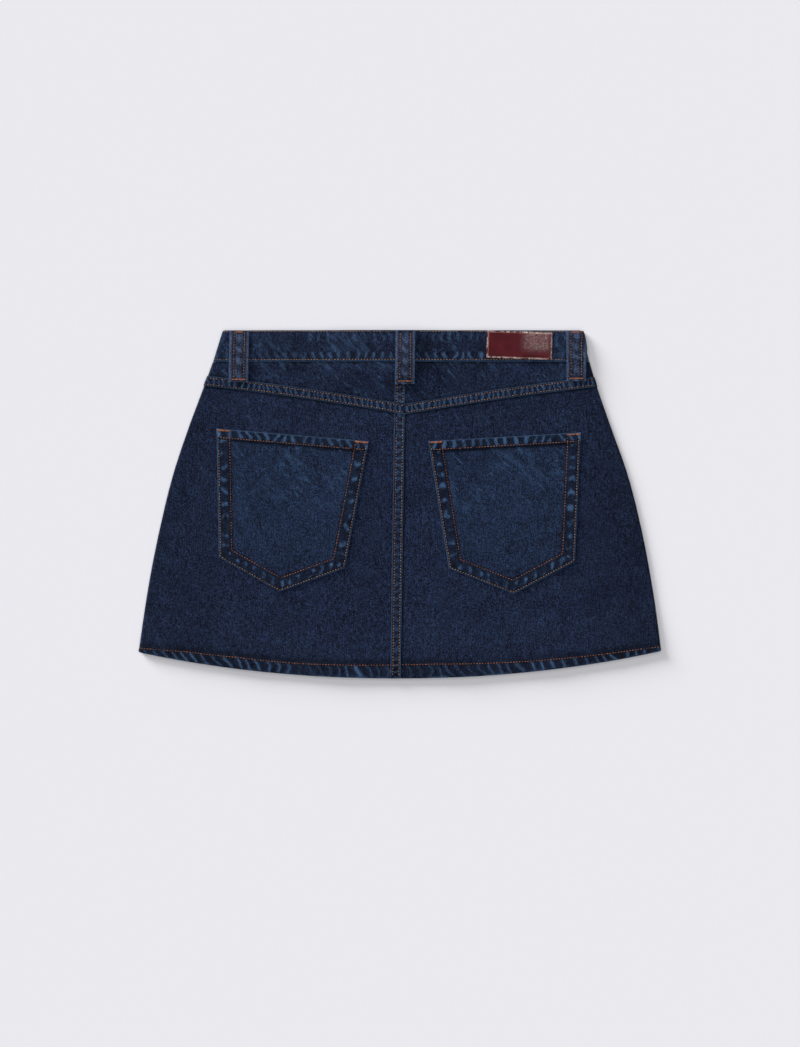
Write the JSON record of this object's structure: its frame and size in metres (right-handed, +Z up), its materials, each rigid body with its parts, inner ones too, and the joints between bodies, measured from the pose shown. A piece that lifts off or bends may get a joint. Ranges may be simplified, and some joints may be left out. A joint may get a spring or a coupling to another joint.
{
  "type": "denim mini skirt",
  "caption": "Dark denim mini skirt laid flat, back side up, with patch pockets, a yoke, belt loops and a leather waistband patch.",
  "frame": {"origin": "on the surface that the skirt lies on, under the middle of its outline", "axes": "+X across the skirt towards the wearer's right, +Y from the hem to the waist, +Z up from the surface, with the back of the skirt up"},
  "size_m": [0.5335, 0.355, 0.0161],
  "materials": {
    "denim": "dark indigo twill, matt, with worn seam edges",
    "denim_pocket": "dark indigo twill, slightly more worn",
    "denim_loop": "indigo twill, worn along its ridges",
    "leather": "glossy burgundy leather, stitched round its edge",
    "zip_tape": "woven zip tape with closed metal teeth",
    "button_metal": "antique copper-coloured shank button"
  },
  "bodies": {
    "root": {"front_left": "denim", "front_right": "denim", "back_left": "denim", "back_right": "denim", "yoke_left": "denim", "yoke_right": "denim", "waistband": "denim", "pocket_left": "denim_pocket", "pocket_right": "denim_pocket", "belt_loop_back_left": "denim_loop", "belt_loop_centre_back": "denim_loop", "belt_loop_back_right": "denim_loop", "belt_loop_front_left": "denim_loop", "belt_loop_front_right": "denim_loop", "leather_patch": "leather", "fly_shield": "denim", "zip": "zip_tape", "button": "button_metal"}
  },
  "joints": []
}
